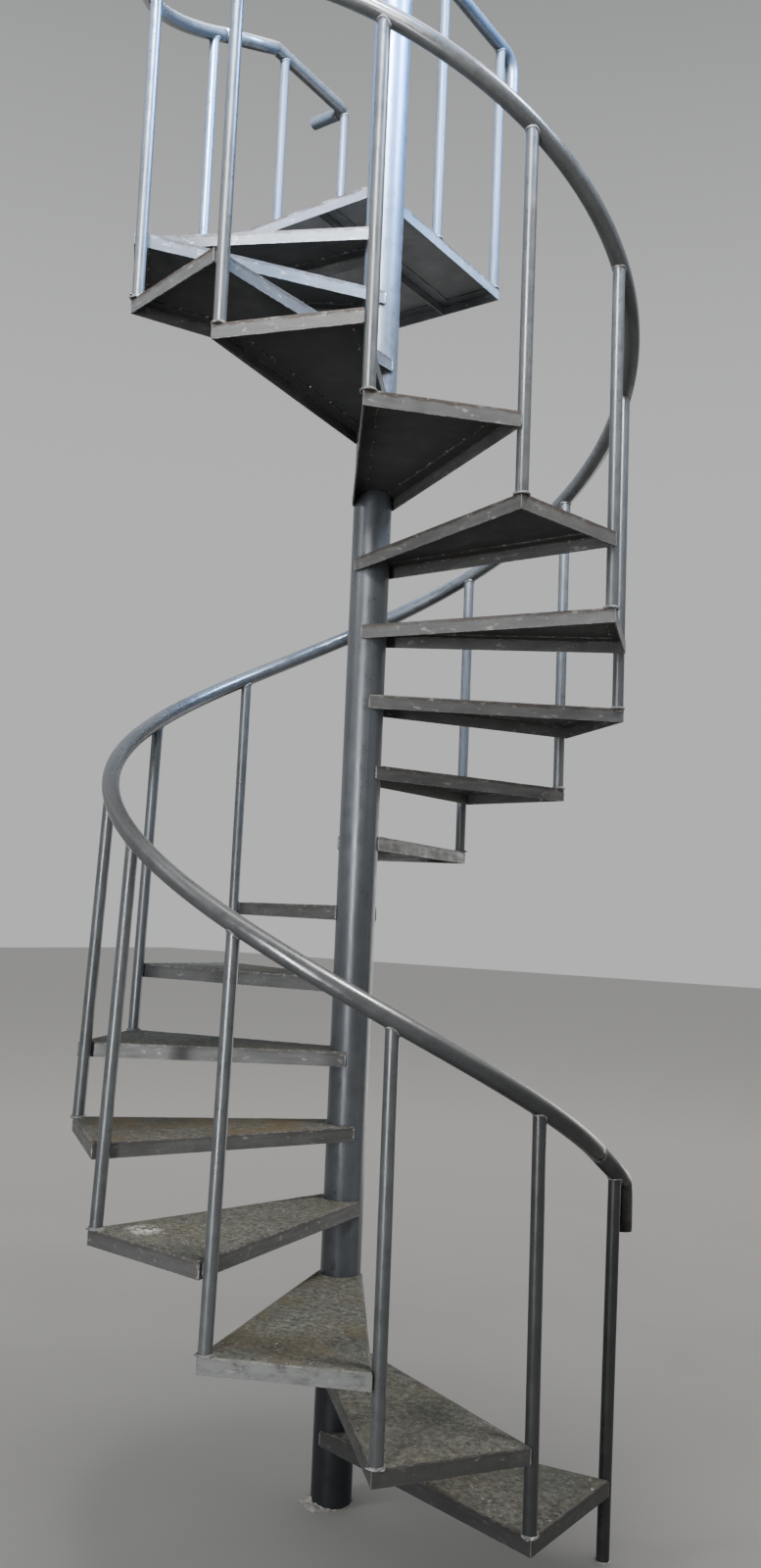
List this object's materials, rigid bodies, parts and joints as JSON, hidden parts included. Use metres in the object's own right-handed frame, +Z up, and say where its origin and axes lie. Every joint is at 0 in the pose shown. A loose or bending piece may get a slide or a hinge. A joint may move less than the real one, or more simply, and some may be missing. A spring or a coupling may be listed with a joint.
{
  "type": "spiral staircase",
  "caption": "Welded steel spiral staircase: round centre pole, winding angle-framed treads, pipe balusters, coiled pipe handrail and a square top landing.",
  "frame": {"origin": "centre of the pole's foot, on the floor", "axes": "+Z up along the centre pole, +Y towards the wall edge of the top landing, +X to the right when facing that wall"},
  "size_m": [1.7209, 1.676, 4.9],
  "materials": {
    "dark_paint": "satin dark grey enamel on welded steel",
    "grit_coat": "rough grey non-slip coat"
  },
  "bodies": {
    "root": {"centre_pole": "dark_paint", "pole_cap": "dark_paint", "tread_01": "dark_paint", "tread_02": "dark_paint", "tread_03": "dark_paint", "tread_04": "dark_paint", "tread_05": "dark_paint", "tread_06": "dark_paint", "tread_07": "dark_paint", "tread_08": "dark_paint", "tread_09": "dark_paint", "tread_10": "dark_paint", "tread_11": "dark_paint", "tread_12": "dark_paint", "tread_13": "dark_paint", "tread_14": "dark_paint", "tread_15": "dark_paint", "tread_16": "dark_paint", "tread_17": "dark_paint", "tread_18": "dark_paint", "step_coats": "grit_coat", "newel_post": "dark_paint", "balusters_lower": "dark_paint", "balusters_middle": "dark_paint", "balusters_upper": "dark_paint", "handrail": "dark_paint", "handrail_end": "dark_paint", "landing_frame": "dark_paint", "landing_plate": "dark_paint", "landing_stiffener": "dark_paint", "landing_posts_left": "dark_paint", "landing_posts_right": "dark_paint", "landing_rail_left": "dark_paint", "rail_return": "dark_paint", "landing_rail_right": "dark_paint"}
  },
  "joints": []
}
